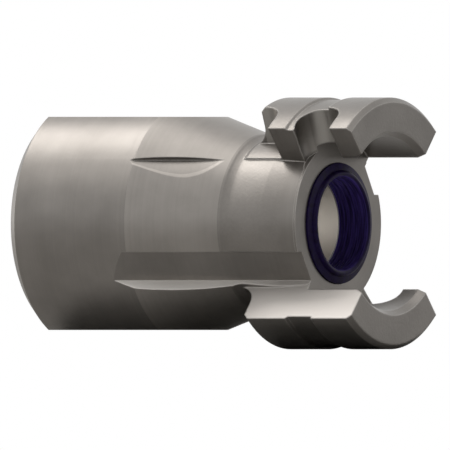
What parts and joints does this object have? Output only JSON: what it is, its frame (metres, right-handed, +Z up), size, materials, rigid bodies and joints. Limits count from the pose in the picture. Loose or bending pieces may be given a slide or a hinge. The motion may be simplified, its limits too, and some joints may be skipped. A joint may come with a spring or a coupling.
{
  "type": "hose coupling adapter",
  "caption": "Claw type hose coupling half with a female pipe thread at the rear, a stepped waterway and a moulded sealing ring in its face.",
  "frame": {"origin": "centre of the sealing face plane, on the pipe axis", "axes": "X along the pipe axis, the claws pointing to +X and the threaded end to -X; Z up, through the middle of the upper claw; Y to the side"},
  "size_m": [0.099, 0.062, 0.065],
  "materials": {
    "metal": "fine cast and machined, satin",
    "sealing_rubber": "smooth moulded, semi-gloss"
  },
  "bodies": {
    "root": {"body": "metal", "seal": "sealing_rubber"}
  },
  "joints": []
}
